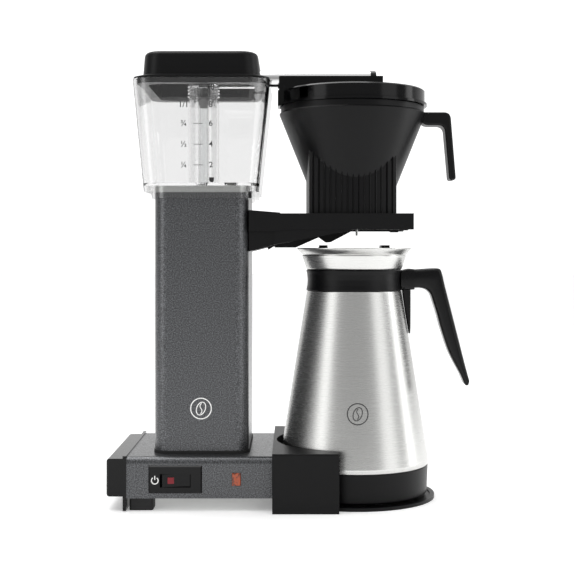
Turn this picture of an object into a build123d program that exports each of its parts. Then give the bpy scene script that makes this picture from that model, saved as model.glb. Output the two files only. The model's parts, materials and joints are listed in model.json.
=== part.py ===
from build123d import *
import os
from math import cos, radians, sin, sqrt

os.makedirs("parts", exist_ok=True)

# Drip coffee maker with a thermal carafe. Millimetres, +Z up, front towards -Y.
# The origin is the middle of the footprint, on the worktop.

# ---------------------------------------------------------------- driving dimensions
overall_left = -161.0
overall_right = 161.0
overall_depth = 164.0
overall_height = 398.0

sheet = 1.5                      # painted steel sheet
moulding = 2.5                   # wall of the plastic mouldings
gap = 0.3                        # clearance between pieces that move past each other
running = 0.06                   # radial clearance of a pin in its bore

base_left, base_right = -143.5, -18.2
base_depth = 140.0
base_bottom, base_top = 11.0, 46.5
base_edge = 6.0

column_x = -80.5
column_width, column_depth, column_corner = 83.0, 106.0, 13.0
column_bottom, column_top = 49.0, 275.0

tank_bottom, tank_floor, tank_top = 275.6, 283.0, 373.0
tank_low = (-80.5, 101.0, 124.0, 14.0)      # centre x, width, depth, corner radius at the foot
tank_high = (-80.0, 120.0, 140.0, 17.0)     # the same at the rim

riser_x = -82.0                  # rising water tube, in the tank
inlet_x = -56.0                  # tank outlet with the check valve
boiler_x = -98.0                 # boiler, in the column
arm_height, arm_radius = 381.0, 8.0
arm_end = 70.8

basket_x, basket_radius = 55.6, 67.0
basket_rim, basket_shoulder = 355.5, 349.0
cone_slope = 0.402               # radius gained per mm of height
block_bottom = 247.3
valve_x = 58.5

rail_top, rail_bottom, rail_end = 256.7, 242.5, 105.8
rail_outer, rail_inner = 50.0, 44.5

carafe_x = 56.0
carafe_foot_radius, carafe_neck_radius = 68.0, 43.0
carafe_foot, carafe_shoulder, carafe_rim = 34.0, 187.5, 226.5

switch_x, switch_z = -101.2, 26.4
lamp_x, lamp_z = -48.8, 27.4
gland_x, gland_z = -100.0, 28.0


# ---------------------------------------------------------------- shared shapes
def block(x, y, z, mode=Mode.ADD):
    """Box between the low and high limits of each axis."""
    with Locations(((x[0] + x[1]) / 2, (y[0] + y[1]) / 2, (z[0] + z[1]) / 2)):
        Box(x[1] - x[0], y[1] - y[0], z[1] - z[0], mode=mode)


def drum(x, y, radius, z, mode=Mode.ADD):
    """Upright cylinder between two heights."""
    with Locations((x, y, (z[0] + z[1]) / 2)):
        Cylinder(radius, z[1] - z[0], mode=mode)


def cross_drum(x, z, radius, y, mode=Mode.ADD):
    """Cylinder that runs from front to back."""
    with Locations((x, (y[0] + y[1]) / 2, z)):
        Cylinder(radius, y[1] - y[0], rotation=(90, 0, 0), mode=mode)


def long_drum(y, z, radius, x, mode=Mode.ADD):
    """Cylinder that runs from left to right."""
    with Locations(((x[0] + x[1]) / 2, y, z)):
        Cylinder(radius, x[1] - x[0], rotation=(0, 90, 0), mode=mode)


def footprint(z, x, width, depth, radius):
    """Rounded rectangle at height z, centred on x."""
    with BuildSketch(Plane.XY.offset(z)) as section:
        with Locations((x, 0)):
            RectangleRounded(width, depth, radius)
    return section.sketch


def side_outline(points, y):
    """Closed outline of (x, z) points in the upright plane at y, facing +Y."""
    with BuildSketch(Plane(origin=(0, y, 0), x_dir=(-1, 0, 0), z_dir=(0, 1, 0))) as section:
        with BuildLine():
            Polyline(*[(-x, z) for x, z in points], close=True)
        make_face()
    return section.sketch


def turned(points, x):
    """Solid of revolution of (radius, z) points about the upright axis at x."""
    with BuildPart() as solid:
        with BuildSketch(Plane(origin=(x, 0, 0), x_dir=(1, 0, 0), z_dir=(0, -1, 0))):
            with BuildLine():
                Polyline(*points, close=True)
            make_face()
        revolve(axis=Axis((x, 0, 0), (0, 0, 1)))
    return solid.part


def tube(points, bend, outer, inner):
    """Hollow or solid tube along straight runs with rounded bends."""
    with BuildPart() as solid:
        with BuildLine() as route:
            FilletPolyline(*points, radius=bend)
        start = Plane(origin=route.line @ 0, z_dir=route.line % 0)
        with BuildSketch(start):
            Circle(outer)
            if inner:
                Circle(inner, mode=Mode.SUBTRACT)
        sweep()
    return solid.part


def save(solid, name):
    """Label a finished piece and write it."""
    solid.label = name
    export_step(solid, f"parts/{name}.step")


# ---------------------------------------------------------------- base
base_middle = (base_bottom + base_top) / 2
base_length = base_right - base_left

with BuildPart() as base_shell:
    with BuildSketch(Plane.YZ.offset(base_left)) as outside:
        with Locations((0, base_middle)):
            Rectangle(base_depth, base_top - base_bottom)
        fillet(outside.vertices().group_by(Axis.Y)[-1], base_edge)
    extrude(amount=base_length)
    with BuildSketch(Plane.YZ.offset(base_left)) as inside:
        with Locations((0, (base_bottom + base_top - sheet) / 2)):
            Rectangle(base_depth - 2 * sheet, base_top - sheet - base_bottom)
        fillet(inside.vertices().group_by(Axis.Y)[-1], base_edge - sheet)
    extrude(amount=base_length, mode=Mode.SUBTRACT)
    wall_y = (-base_depth / 2 - 1, -base_depth / 2 + 3)
    block((switch_x - 20, switch_x + 20), wall_y, (18, 36.5), Mode.SUBTRACT)
    block((lamp_x - 3.9, lamp_x + 3.9), wall_y, (lamp_z - 5.6, lamp_z + 5.6), Mode.SUBTRACT)
    cross_drum(gland_x, gland_z, 7.2, (60, 75), Mode.SUBTRACT)
    drum(-66, 34, 8, (40, 50), Mode.SUBTRACT)
save(base_shell.part, "base_shell")

with BuildPart() as bottom_plate:
    block((base_left + 0.5, base_right - 14), (-68.2, 68.2), (base_bottom, base_bottom + sheet))
    for slot in range(6):
        slot_x = -100 + 11 * slot
        block((slot_x, slot_x + 4), (-30, 30), (base_bottom - 1, base_bottom + 3), Mode.SUBTRACT)
save(bottom_plate.part, "bottom_plate")

foot_x, foot_y = -131.2, 56.0
with BuildPart() as rubber_feet:
    with Locations((foot_x, -foot_y, base_bottom / 2), (foot_x, foot_y, base_bottom / 2)):
        Box(20.4, 20, base_bottom)
    fillet(rubber_feet.edges().filter_by(Axis.Z), 2)
    with Locations((foot_x, -foot_y, 0), (foot_x, foot_y, 0)):
        Cylinder(4.2, 14, mode=Mode.SUBTRACT)
        Cylinder(2.1, 40, mode=Mode.SUBTRACT)
save(rubber_feet.part, "rubber_feet")

with BuildPart() as foot_screws:
    for y in (-foot_y, foot_y):
        drum(foot_x, y, 2.0, (5, 11))
        drum(foot_x, y, 3.6, (4.6, 6.8))
save(foot_screws.part, "foot_screws")

cap_top, cap_bottom = 45.0, 12.4
with BuildPart() as end_cap:
    block((overall_left, base_left - 2.9), (-69, 69), (cap_bottom, cap_top))
    fillet(end_cap.edges().group_by(Axis.X)[0], 3)
    block((base_left - 2.9, base_left), (-71, 71), (0.5, 47.5))
    block((overall_left + moulding, base_left + 1), (-66.5, 66.5),
          (cap_bottom + moulding, cap_top - moulding), Mode.SUBTRACT)
save(end_cap.part, "end_cap")

# ---------------------------------------------------------------- switch and pilot lamp
bezel_face = -base_depth / 2 - 1.4
pivot_y = -65.0
rocker_half, rocker_height, rocker_tilt = 11.9, 10.9, 7.0

with BuildPart() as switch_bezel:
    block((switch_x - 23.1, switch_x + 22.9), (bezel_face, -70), (15.5, 39.3))
    chamfer(switch_bezel.edges().group_by(Axis.Y)[0], 1.0)
    block((switch_x - 18, switch_x + 18), (-70, -58), (19.2, 35.4))
    block((switch_x - 13.2, switch_x + 13.2), (bezel_face - 1, -57),
          (switch_z - 5.75, switch_z + 5.75), Mode.SUBTRACT)
    with Locations((switch_x, pivot_y, switch_z)):
        Cylinder(1.2 + running, 13.6, mode=Mode.SUBTRACT)
save(switch_bezel.part, "switch_bezel")

tilt = radians(rocker_tilt)
rocker_plane = Plane(origin=(switch_x, pivot_y, switch_z - rocker_height / 2),
                     x_dir=(cos(tilt), sin(tilt), 0), z_dir=(0, 0, 1))
with BuildPart() as rocker_switch:
    with BuildSketch(rocker_plane):
        with BuildLine():
            face = ThreePointArc((-rocker_half, -5.4), (0, -4.6), (rocker_half, -5.4))
            Polyline(face @ 1, (rocker_half, -1.5), (3, 3.5), (-3, 3.5), (-rocker_half, -1.5),
                     face @ 0)
        make_face()
    extrude(amount=rocker_height)
    with Locations((switch_x, pivot_y, switch_z)):
        Cylinder(1.2, 13.2)
save(rocker_switch.part, "rocker_switch")

with BuildPart() as switch_body:
    block((switch_x - 13, switch_x + 13), (-57.8, -38), (18.6, 34.4))
    for blade in (-8, 0, 8):
        block((switch_x + blade - 2.4, switch_x + blade + 2.4), (-38, -30), (26, 26.8))
    block((switch_x - 10, switch_x + 10), (-58, -50), (21.5, 31.5), Mode.SUBTRACT)
save(switch_body.part, "switch_body")

with BuildPart() as pilot_lamp:
    block((lamp_x - 3.7, lamp_x + 3.7), (-71.4, -60), (lamp_z - 5.4, lamp_z + 5.4))
    fillet(pilot_lamp.edges().group_by(Axis.Y)[0], 0.8)
save(pilot_lamp.part, "pilot_lamp")

with BuildPart() as lamp_socket:
    block((lamp_x - 5.5, lamp_x + 5.5), (-68, -48), (lamp_z - 7.5, lamp_z + 7.5))
    block((lamp_x - 3.8, lamp_x + 3.8), (-69, -56), (lamp_z - 5.5, lamp_z + 5.5), Mode.SUBTRACT)
save(lamp_socket.part, "lamp_socket")

# ---------------------------------------------------------------- mains side, in the base
with BuildPart() as cord_gland:
    cross_drum(gland_x, gland_z, 10, (70, 72.5))
    cross_drum(gland_x, gland_z, 7, (58, 78))
    cross_drum(gland_x, gland_z, 3.6, (50, 80), Mode.SUBTRACT)
save(cord_gland.part, "cord_gland")

with BuildPart() as terminal_block:
    block((-74, -44), (22, 40), (12.5, 26))
    for pole in (-69, -59, -49):
        drum(pole, 31, 3, (20, 30), Mode.SUBTRACT)
save(terminal_block.part, "terminal_block")

with BuildPart() as terminal_screws:
    for pole in (-69, -59, -49):
        drum(pole, 31, 2.6, (20, 24))
save(terminal_screws.part, "terminal_screws")

wire = 1.4
with BuildPart() as wiring:
    add(tube([(-100, 56, 22), (-100, 31, 22), (-74.2, 31, 22)], 9, wire, 0))
    add(tube([(-62, 21.8, 20), (-62, -24, 20), (-93.2, -24, 20), (-93.2, -37.8, 20)],
             9, wire, 0))
    add(tube([(-49, 21.8, 20), (-49, -10, 20), (-48.8, -47.8, 20)], 8, wire, 0))
    add(tube([(-66, 40.2, 20), (-66, 46, 20), (-66, 46, 34), (-66, 36, 40), (-66, 36, 100)],
             2.5, wire, 0))
save(wiring.part, "wiring")

# ---------------------------------------------------------------- column
with BuildPart() as column_gasket:
    extrude(footprint(base_top, column_x, column_width + 1.6, column_depth + 1.6, 13.8), amount=2.5)
    extrude(footprint(base_top, column_x, column_width - 5, column_depth - 5, 10.5), amount=2.5,
            mode=Mode.SUBTRACT)
save(column_gasket.part, "column_gasket")

column_face = column_x + column_width / 2
holder_screw_places = [(-30, 251), (30, 251)]
with BuildPart() as column_shell:
    extrude(footprint(column_bottom, column_x, column_width, column_depth, column_corner),
            amount=column_top - column_bottom)
    extrude(footprint(column_bottom, column_x, column_width - 2 * sheet,
                      column_depth - 2 * sheet, column_corner - sheet),
            amount=column_top - column_bottom, mode=Mode.SUBTRACT)
    for y, z in holder_screw_places:
        long_drum(y, z, 2.2, (column_face - 3, column_face + 3), Mode.SUBTRACT)
save(column_shell.part, "column_shell")

# ---------------------------------------------------------------- boiler and water path
boiler_low, boiler_high, boiler_radius, stub = 92.0, 200.0, 12.0, 5.0
hose_inner, hose_outer = 5.05, 7.0

with BuildPart() as boiler:
    drum(boiler_x, 0, boiler_radius, (boiler_low, boiler_high))
    fillet(boiler.edges().filter_by(GeomType.CIRCLE), 4)
    drum(boiler_x, 0, stub, (boiler_low - 9, boiler_high + 9))
    drum(boiler_x, 0, boiler_radius - 1.2, (boiler_low + 4, boiler_high - 4), Mode.SUBTRACT)
    drum(boiler_x, 0, stub - 1.2, (boiler_low - 15, boiler_high + 15), Mode.SUBTRACT)
save(boiler.part, "boiler")

element_y = 15.5
with BuildPart() as heating_element:
    add(tube([(boiler_x - 8, element_y, 206), (boiler_x - 8, element_y, 100),
              (boiler_x + 8, element_y, 100), (boiler_x + 8, element_y, 206)], 7.5, 3.2, 0))
save(heating_element.part, "heating_element")

with BuildPart() as boiler_clamps:
    for z in (116, 176):
        block((-120, boiler_x + 15), (-20, 21), (z, z + 10))
    drum(boiler_x, 0, boiler_radius, (100, 200), Mode.SUBTRACT)
    for x in (boiler_x - 8, boiler_x + 8):
        drum(x, element_y, 3.2, (100, 200), Mode.SUBTRACT)
save(boiler_clamps.part, "boiler_clamps")

with BuildPart() as thermostat:
    cross_drum(boiler_x, 181, 8, (-27, -20))
    cross_drum(boiler_x, 181, 5, (-31, -27))
save(thermostat.part, "thermostat")

with BuildPart() as thermal_fuse:
    long_drum(-23, 121, 3, (boiler_x - 9, boiler_x + 9))
    long_drum(-23, 121, 0.8, (boiler_x - 18, boiler_x + 18))
save(thermal_fuse.part, "thermal_fuse")

with BuildPart() as inlet_hose:
    add(tube([(inlet_x, 0, 267), (inlet_x, 0, 66), (boiler_x, 0, 66), (boiler_x, 0, 91)],
             16, hose_outer, hose_inner))
save(inlet_hose.part, "inlet_hose")

with BuildPart() as outlet_hose:
    add(tube([(boiler_x, 0, 201), (boiler_x, 0, 226), (riser_x, 0, 242), (riser_x, 0, 269)],
             16, hose_outer, hose_inner))
save(outlet_hose.part, "outlet_hose")

valve_seat, ball_radius = 270.0, 3.0
with BuildPart() as check_valve:
    drum(inlet_x, 0, 9, (tank_floor, tank_floor + 1.6))
    drum(inlet_x, 0, 5.7, (268, tank_floor))
    drum(inlet_x, 0, stub, (252, 268))
    drum(inlet_x, 0, 4.2, (valve_seat, 281), Mode.SUBTRACT)
    drum(inlet_x, 0, 2.2, (250, 300), Mode.SUBTRACT)
save(check_valve.part, "check_valve")

ball_height = valve_seat + sqrt(ball_radius**2 - 2.2**2) + gap
with BuildPart() as check_ball:
    with Locations((inlet_x, 0, ball_height)):
        Sphere(ball_radius)
save(check_ball.part, "check_ball")

# ---------------------------------------------------------------- water tank
def tank_section(z, wall=0.0):
    """Section of the tapered tank at height z, drawn in by the wall."""
    share = (z - tank_bottom) / (tank_top - tank_bottom)
    x, width, depth, radius = [low + share * (high - low) for low, high in zip(tank_low, tank_high)]
    return footprint(z, x, width - 2 * wall, depth - 2 * wall, radius - wall)


skirt = 2.4
with BuildPart() as water_tank:
    loft([tank_section(tank_bottom), tank_section(tank_top)])
    loft([tank_section(tank_floor, moulding), tank_section(tank_top, moulding)],
         mode=Mode.SUBTRACT)
    loft([tank_section(tank_bottom, moulding), tank_section(tank_floor - moulding, moulding)],
         mode=Mode.SUBTRACT)
    collar = 2 * (gap + 0.3)
    extrude(footprint(270, column_x, column_width + collar + 2 * skirt,
                      column_depth + collar + 2 * skirt, column_corner + 3), amount=10.6)
    block((column_face + gap, -29.6), (-57, -44), (268.6, 276))
    extrude(footprint(268, column_x, column_width + collar, column_depth + collar,
                      column_corner + 0.6), amount=12.5, mode=Mode.SUBTRACT)
    drum(riser_x, 0, 5.6, (278, 285), Mode.SUBTRACT)
    drum(inlet_x, 0, 5.9, (278, 285), Mode.SUBTRACT)
save(water_tank.part, "water_tank")

with BuildPart() as tank_seat:
    extrude(footprint(271, column_x, column_width - 3.6, column_depth - 3.6, 11), amount=4)
    extrude(footprint(275, column_x, column_width, column_depth, column_corner), amount=5.3)
    drum(riser_x, 0, 5.3, (270, 281), Mode.SUBTRACT)
    drum(inlet_x, 0, 6.0, (270, 281), Mode.SUBTRACT)
save(tank_seat.part, "tank_seat")

with BuildPart() as riser_cover:
    drum(riser_x, 0, 14, (tank_floor, 363.4))
    drum(riser_x, 0, 12.2, (tank_floor, 363.4), Mode.SUBTRACT)
save(riser_cover.part, "riser_cover")

with BuildPart() as riser_seal:
    drum(riser_x, 0, 9, (tank_floor, tank_floor + 3))
    drum(riser_x, 0, 5.1, (tank_floor, tank_floor + 3), Mode.SUBTRACT)
save(riser_seal.part, "riser_seal")

with BuildPart() as riser_tube:
    drum(riser_x, 0, 5.0, (256, 372.5))
    drum(riser_x, 0, 3.5, (256, 372.5), Mode.SUBTRACT)
save(riser_tube.part, "riser_tube")

with BuildPart() as riser_head:
    drum(riser_x, 0, 12, (356, 391))
    drum(riser_x, 0, 13.2, (363.6, 378))
    for rib in range(4):
        drum(riser_x, 0, 14.8, (365 + 3 * rib, 366.2 + 3 * rib))
    long_drum(0, arm_height, arm_radius, (riser_x - 8.5, riser_x + 20), Mode.SUBTRACT)
    drum(riser_x, 0, 5.1, (350, 380), Mode.SUBTRACT)
    drum(riser_x, 0, 9.5, (350, 362), Mode.SUBTRACT)
save(riser_head.part, "riser_head")

with BuildPart() as outlet_arm:
    long_drum(0, arm_height, arm_radius, (riser_x - 8.5, arm_end))
    long_drum(0, arm_height, arm_radius - 1, (riser_x - 7.5, arm_end + 1), Mode.SUBTRACT)
    drum(riser_x, 0, 4, (370, 380), Mode.SUBTRACT)
    for jet in range(9):
        drum(arm_end - 8 - 3.5 * jet, 0, 1.0, (371, 380), Mode.SUBTRACT)
save(outlet_arm.part, "outlet_arm")

with BuildPart() as arm_plug:
    long_drum(0, arm_height, arm_radius, (arm_end, arm_end + 5.3))
    chamfer(arm_plug.edges().group_by(Axis.X)[-1], 0.6)
    long_drum(0, arm_height, arm_radius - 1.1, (arm_end - 6, arm_end))
save(arm_plug.part, "arm_plug")

# ---------------------------------------------------------------- tank lid
dome_low, lid_flange = 377.6, tank_top + 0.2
with BuildPart() as tank_lid:
    extrude(footprint(lid_flange, -80.0, 118.6, 138.6, 16.5), amount=1.6)
    loft([footprint(lid_flange + 1.6, -80.0, 118.6, 138.6, 16.5),
          footprint(dome_low, -80.3, 104, 124, 17)])
    loft([footprint(dome_low, -80.5, 102.8, 122.8, 17),
          footprint(overall_height, -80.8, 99.4, 119.4, 17)])
    fillet(tank_lid.edges().group_by(Axis.Z)[-1], 4.5)
    extrude(footprint(369, -80.0, 113.0, 133.0, 14), amount=lid_flange - 369)
    extrude(footprint(369, -80.6, 93, 112, 12), amount=22.5, mode=Mode.SUBTRACT)
    drum(riser_x, 0, 15.4, (369, 393.5), Mode.SUBTRACT)
    block((riser_x, -15), (-8.7, 8.7), (368, 389.8), Mode.SUBTRACT)
save(tank_lid.part, "tank_lid")

# ---------------------------------------------------------------- basket holder
side_profile = [(-38.9, 259.6), (-11.5, 257.4), (-11.5, 241.2), (-38.9, 241.2)]
lower_profile = [(-38.9, 241.2), (-14.4, 241.2), (-14.4, 229.7), (-38.9, 223.3)]
gusset_profile = [(-17, 244), (50, 244), (50, 241.5), (-17, 229.2)]
pivot_x, pivot_z = -21.0, 236.5

with BuildPart() as basket_holder:
    extrude(side_outline(side_profile, -rail_outer), amount=2 * rail_outer)
    extrude(side_outline(lower_profile, -46), amount=92)
    for side in (-1, 1):
        wall = sorted((side * rail_inner, side * rail_outer))
        block((-12, rail_end), wall, (rail_bottom, rail_top))
        ledge = sorted((side * 24, side * rail_inner))
        block((-12, rail_end - 1.5), ledge, (244.6, 247.1))
        block((rail_end - 13, rail_end - 5), wall, (rail_bottom - 0.8, rail_bottom))
        extrude(side_outline(gusset_profile, min(side * 48.5, side * 45)), amount=3.5)
        block((-36, -10), sorted((side * 12, side * 43)), (220, 240), Mode.SUBTRACT)
    block((-33, -10), (-5, 5), (220, 243.8), Mode.SUBTRACT)
    cross_drum(pivot_x, pivot_z, 2.0, (-13, 13), Mode.SUBTRACT)
    for y, z in holder_screw_places:
        long_drum(y, z, 1.9, (-40, -30), Mode.SUBTRACT)
save(basket_holder.part, "basket_holder")

with BuildPart() as holder_screws:
    for y, z in holder_screw_places:
        long_drum(y, z, 1.9, (column_face - 1.5, -33))
        long_drum(y, z, 3.8, (column_face - 3.9, column_face - 1.5))
save(holder_screws.part, "holder_screws")

with BuildPart() as lever_pin:
    cross_drum(pivot_x, pivot_z, 2.0, (-11.5, 11.5))
save(lever_pin.part, "lever_pin")

lever_profile = [(-26, 241), (-25.5, 232), (-22.6, 224.9), (-17.2, 228.2), (-16.8, 226.9),
                 (2.4, 226.9), (23.5, 236.2), (30, 231.5), (34.5, 231.8), (54.6, 242.4),
                 (56.8, 243), (56.8, 244.1), (50, 244.1), (44, 241.8), (-17, 241.8)]
with BuildPart() as drip_lever:
    extrude(side_outline(lever_profile, -4.2), amount=8.4)
    cross_drum(pivot_x, pivot_z, 2.0 + running, (-6, 6), Mode.SUBTRACT)
save(drip_lever.part, "drip_lever")

# ---------------------------------------------------------------- brew basket
def cone_radius(z):
    """Outer radius of the filter cone at height z."""
    return basket_radius - cone_slope * (basket_shoulder - z)


cone_foot, wall = 262.0, 2.4
half_width, corner_depth, front_bulge, side_bulge = 38.75, 34.5, 44.0, 41.3


def block_section(z, inset):
    """Bowed four-sided section of the block under the cone, drawn in by the inset."""
    w, d = half_width - inset, corner_depth - inset
    with BuildSketch(Plane.XY.offset(z)) as section:
        with BuildLine(Location((basket_x - 1.3, 0))):
            ThreePointArc((-w, -d), (0, inset - front_bulge), (w, -d))
            ThreePointArc((w, -d), (side_bulge - inset, 0), (w, d))
            ThreePointArc((w, d), (0, front_bulge - inset), (-w, d))
            ThreePointArc((-w, d), (inset - side_bulge, 0), (-w, -d))
        make_face()
        fillet(section.vertices(), 4 - inset)
    return section.sketch


with BuildPart() as basket_handle:
    with BuildSketch(Plane(origin=(0, -10, 0), x_dir=(-1, 0, 0), z_dir=(0, 1, 0))):
        with BuildLine():
            FilletPolyline((-112, 350.4), (-144, 350.4), (-148.8, 288.8), (-142.6, 288.1),
                           (-137.8, 338.4), (-112, 338.4), radius=[7, 2, 2, 5])
            Line((-112, 338.4), (-112, 350.4))
        make_face()
    extrude(amount=20)
    fillet(basket_handle.edges().filter_by(Axis.Y, reverse=True), 1.2)
    add(turned([(0, cone_foot), (cone_radius(cone_foot), cone_foot),
                (basket_radius, basket_shoulder), (basket_radius - 1.5, basket_shoulder + 1),
                (basket_radius - 1.5, basket_rim + 1), (0, basket_rim + 1)], basket_x),
        mode=Mode.SUBTRACT)
save(basket_handle.part, "basket_handle")

rib_low, rib_high = rail_top + 0.5, 306.0
lever_slot_top = 249.4
with BuildPart() as brew_basket:
    extrude(block_section(block_bottom, 0), amount=314 - block_bottom)
    for rib in range(-7, 8):
        rib_x = basket_x - 1.3 + 5.07 * rib
        bow = front_bulge - (front_bulge - corner_depth) * (5.07 * rib / half_width) ** 2
        for side in (-1, 1):
            with Locations((rib_x, side * (bow + 0.1), (rib_low + rib_high) / 2)):
                Box(1.0, 1.6, rib_high - rib_low)
    extrude(block_section(block_bottom, wall), amount=330 - block_bottom, mode=Mode.SUBTRACT)
    add(turned([(0, cone_foot - wall), (cone_radius(cone_foot), cone_foot - wall),
                (cone_radius(cone_foot), cone_foot), (basket_radius, basket_shoulder),
                (basket_radius - 1.5, basket_shoulder + 1), (basket_radius - 1.5, basket_rim),
                (0, basket_rim)], basket_x))
    drum(valve_x, 0, 9, (246, cone_foot))
    add(turned([(0, cone_foot), (cone_radius(cone_foot) - wall, cone_foot),
                (basket_radius - wall - 0.6, basket_shoulder), (basket_radius - 4, basket_rim),
                (0, basket_rim)], basket_x), mode=Mode.SUBTRACT)
    drum(valve_x, 0, 5, (240, cone_foot - 4), Mode.SUBTRACT)
    drum(valve_x, 0, 2.4, (240, cone_foot + 1), Mode.SUBTRACT)
    block((valve_x - 12, valve_x), (-5, 5), (240, lever_slot_top), Mode.SUBTRACT)
save(brew_basket.part, "brew_basket")

spring_foot, spring_head = 248.2, 257.8
with BuildPart() as valve_stem:
    drum(valve_x, 0, 1.1, (237.8, cone_foot + 2.5))
    drum(valve_x, 0, 4.6, (spring_foot - 3.4, spring_foot - 1.6))
    drum(valve_x, 0, 1.9, (spring_foot - 1.6, spring_foot))
save(valve_stem.part, "valve_stem")

with BuildPart() as valve_spring:
    with BuildLine():
        coil = Helix(2.4, spring_head - spring_foot, 3.6, center=(valve_x, 0, spring_foot - 0.7))
    with BuildSketch(Plane(origin=coil @ 0, z_dir=coil % 0)):
        Circle(0.45)
    sweep(is_frenet=True)
save(valve_spring.part, "valve_spring")

with BuildPart() as valve_seal:
    drum(valve_x, 0, 4.4, (cone_foot + 0.3, cone_foot + 2.5))
    drum(valve_x, 0, 1.1, (cone_foot, cone_foot + 2.5), Mode.SUBTRACT)
save(valve_seal.part, "valve_seal")

# ---------------------------------------------------------------- basket lid
lid_low, lid_plate = basket_rim + 0.2, 368.0
trough_left, trough_right = -12.9, 81.8
with BuildPart() as basket_lid:
    add(turned([(0, lid_plate), (62.5, lid_plate), (62.5, lid_low), (67, lid_low),
                (67, lid_low + 2.2), (65, lid_low + 2.8), (65, lid_plate + 1),
                (63.6, lid_plate + 2.2), (0, lid_plate + 3)], basket_x))
    block((-2, 13), (-58, -30), (lid_low + 3.4, lid_plate), Mode.SUBTRACT)
    block((trough_left, trough_right), (-12, 12), (lid_plate, 383))
    block((trough_left - 1, 6), (-12, 12), (lid_low, lid_plate + 2))
    block((trough_left - 1, trough_right - moulding), (-9.4, 9.4), (372.2, 384), Mode.SUBTRACT)
    block((trough_left + 1, 3.4), (-9.4, 9.4), (lid_low - 1, lid_plate), Mode.SUBTRACT)
    fillet(basket_lid.edges().filter_by(Axis.Y).group_by(Axis.Z)[-1].group_by(Axis.X)[0], 1)
    for jet in range(8):
        drum(arm_end - 10 - 4 * jet, 0, 1.5, (360, 380), Mode.SUBTRACT)
save(basket_lid.part, "basket_lid")

# ---------------------------------------------------------------- carafe stand
stand_left, stand_right, stand_top = -17.9, 39.2, 51.0
bay_radius = 71.0
with BuildPart() as stand_fence:
    half = overall_depth / 2
    block((stand_left, stand_right), (-half, half), (0, stand_top))
    fillet(stand_fence.edges().filter_by(Axis.X).group_by(Axis.Z)[-1], 1.5)
    block((stand_left + moulding, stand_right - moulding), (moulding - half, half - moulding),
          (-1, stand_top - moulding), Mode.SUBTRACT)
    with BuildSketch(Plane.XY) as bay_wall:
        with Locations((carafe_x, 0)):
            Circle(bay_radius + moulding)
        with Locations((stand_right + 100, 0)):
            Rectangle(200, 200, mode=Mode.SUBTRACT)
        with Locations((stand_left - 100, 0)):
            Rectangle(200, 200, mode=Mode.SUBTRACT)
    extrude(amount=stand_top)
    drum(carafe_x, 0, bay_radius, (-1, stand_top + 1), Mode.SUBTRACT)
    block((base_right - 12, stand_left), (-66.6, 66.6), (13, 43.4))
    block((base_right - 13, stand_left - 1), (-64, 64), (15.5, 41), Mode.SUBTRACT)
    drum(-12.5, -7, 1.8, (stand_top - 5, stand_top + 1), Mode.SUBTRACT)
save(stand_fence.part, "stand_fence")

with BuildPart() as stand_disc:
    with BuildSketch(Plane.XY):
        with Locations((carafe_x, 0)):
            Circle(73.1)
        with Locations((stand_right + 0.3 - 100, 0)):
            Rectangle(200, 200, mode=Mode.SUBTRACT)
        with Locations((carafe_x, 0)):
            Circle(bay_radius - 0.2)
    extrude(amount=3)
    drum(carafe_x, 0, 68.8, (1.8, 4), Mode.SUBTRACT)
    fillet(stand_disc.edges().filter_by(GeomType.CIRCLE).group_by(Axis.Z)[-1].sort_by(
        Edge.length)[-1], 0.8)
save(stand_disc.part, "stand_disc")

# ---------------------------------------------------------------- thermal carafe
def carafe_radius(z):
    """Outer radius of the steel cone at height z."""
    share = (z - carafe_foot) / (carafe_shoulder - carafe_foot)
    return carafe_foot_radius + share * (carafe_neck_radius - carafe_foot_radius)


outer_line = [(67.2, 30.5), (carafe_foot_radius, carafe_foot), (43.1, 187.0), (41.6, 189.0),
              (41.6, 205.5), (44.0, 207.5), (47.9, 219.6), (48.2, 220.6), (49.4, 221.4),
              (52.3, 225.3), (52.4, carafe_rim)]
inner_line = [(51.0, carafe_rim), (46.6, 221.4), (42.8, 207.8), (40.4, 205.5), (40.4, 189.6),
              (41.9, 186.6), (66.8, 34.2), (66.2, 30.5)]
with BuildPart() as carafe_shell:
    add(turned(outer_line + inner_line, carafe_x))
save(carafe_shell.part, "carafe_shell")

with BuildPart() as carafe_liner:
    add(turned([(50.9, carafe_rim), (44.7, 222.0), (40.7, 208.2), (38.6, 205.8), (38.6, 188.4),
                (63.2, 42.0), (59.4, 11.0), (0, 11.0), (0, 12.0), (58.5, 12.0), (62.2, 42.0),
                (37.6, 188.0), (37.6, 206.2), (39.7, 208.7), (43.7, 222.6), (49.6, carafe_rim)],
               carafe_x))
save(carafe_liner.part, "carafe_liner")

with BuildPart() as carafe_base:
    add(turned([(0, 6.2), (61, 6.2), (62, 4.2), (65.4, 4.2), (66.2, 5.2), (67.3, 30.2),
                (66.0, 30.2), (64.8, 8.2), (0, 8.2)], carafe_x))
save(carafe_base.part, "carafe_base")

with BuildPart() as carafe_collar:
    add(turned([(41.65, 189.1), (43.3, 187.6), (43.7, 188.2), (42.5, 197.5), (43.9, 205.9),
                (43.5, 206.7), (41.65, 205.4)], carafe_x))
save(carafe_collar.part, "carafe_collar")

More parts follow.
